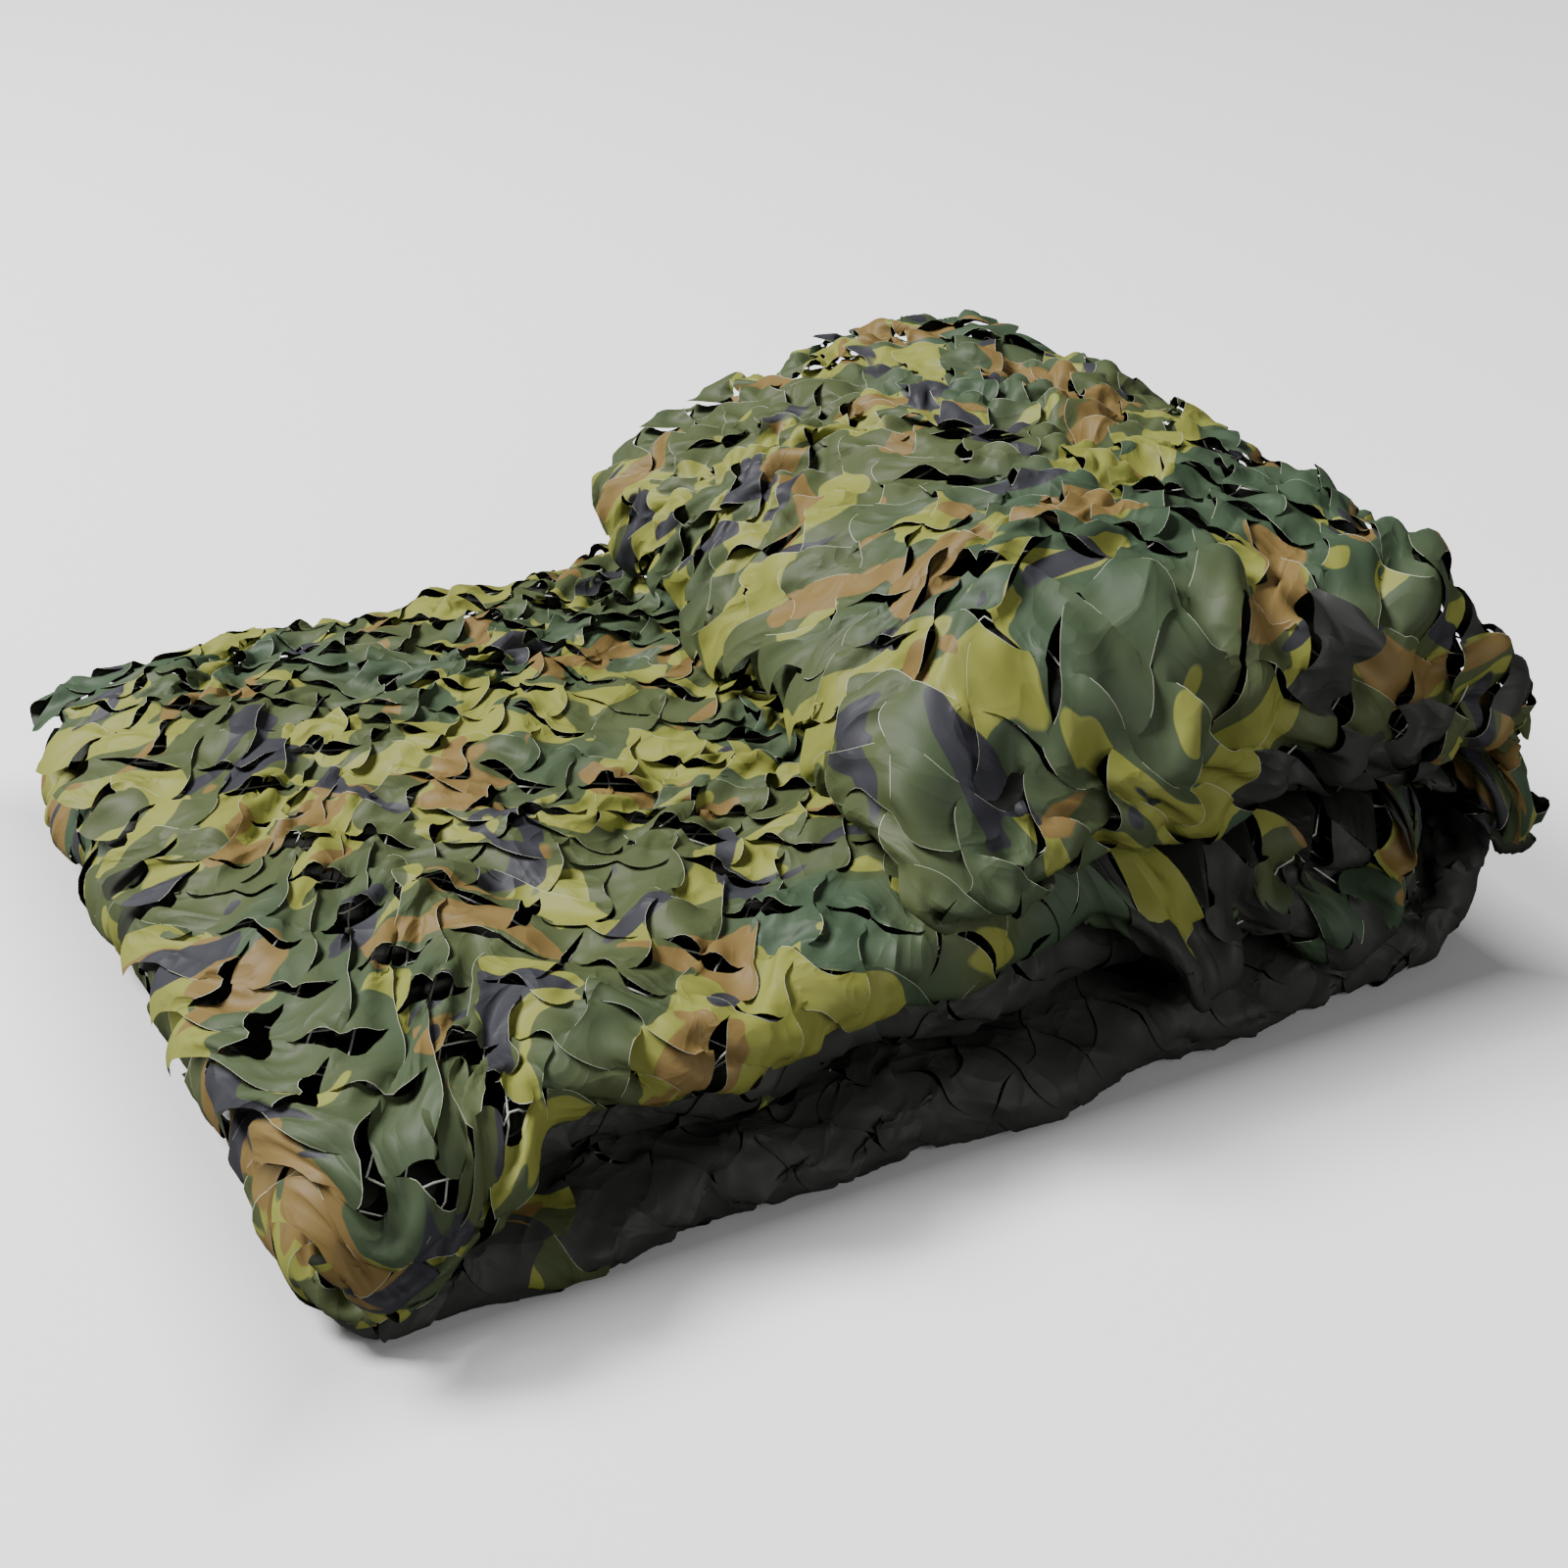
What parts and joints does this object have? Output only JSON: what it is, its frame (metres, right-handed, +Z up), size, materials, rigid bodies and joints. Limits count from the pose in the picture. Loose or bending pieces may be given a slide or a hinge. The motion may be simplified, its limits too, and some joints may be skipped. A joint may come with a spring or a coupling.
{
  "type": "folded camouflage net",
  "caption": "Woodland camouflage net of leaf-cut cloth on a string net, folded back and forth into a thick slab with its right end folded over the top.",
  "frame": {"origin": "middle of the bundle's footprint, on the surface it rests on", "axes": "+X along the bundle, from its left fold towards the folded-over right end; +Y from its front edge to its back edge; +Z up"},
  "size_m": [0.6724, 0.5484, 0.241],
  "materials": {
    "leaf_cloth": "woodland camouflage print on thin satin polyester, darker on its back, cut into leaves"
  },
  "bodies": {
    "root": {"folded_net": "leaf_cloth"}
  },
  "joints": []
}
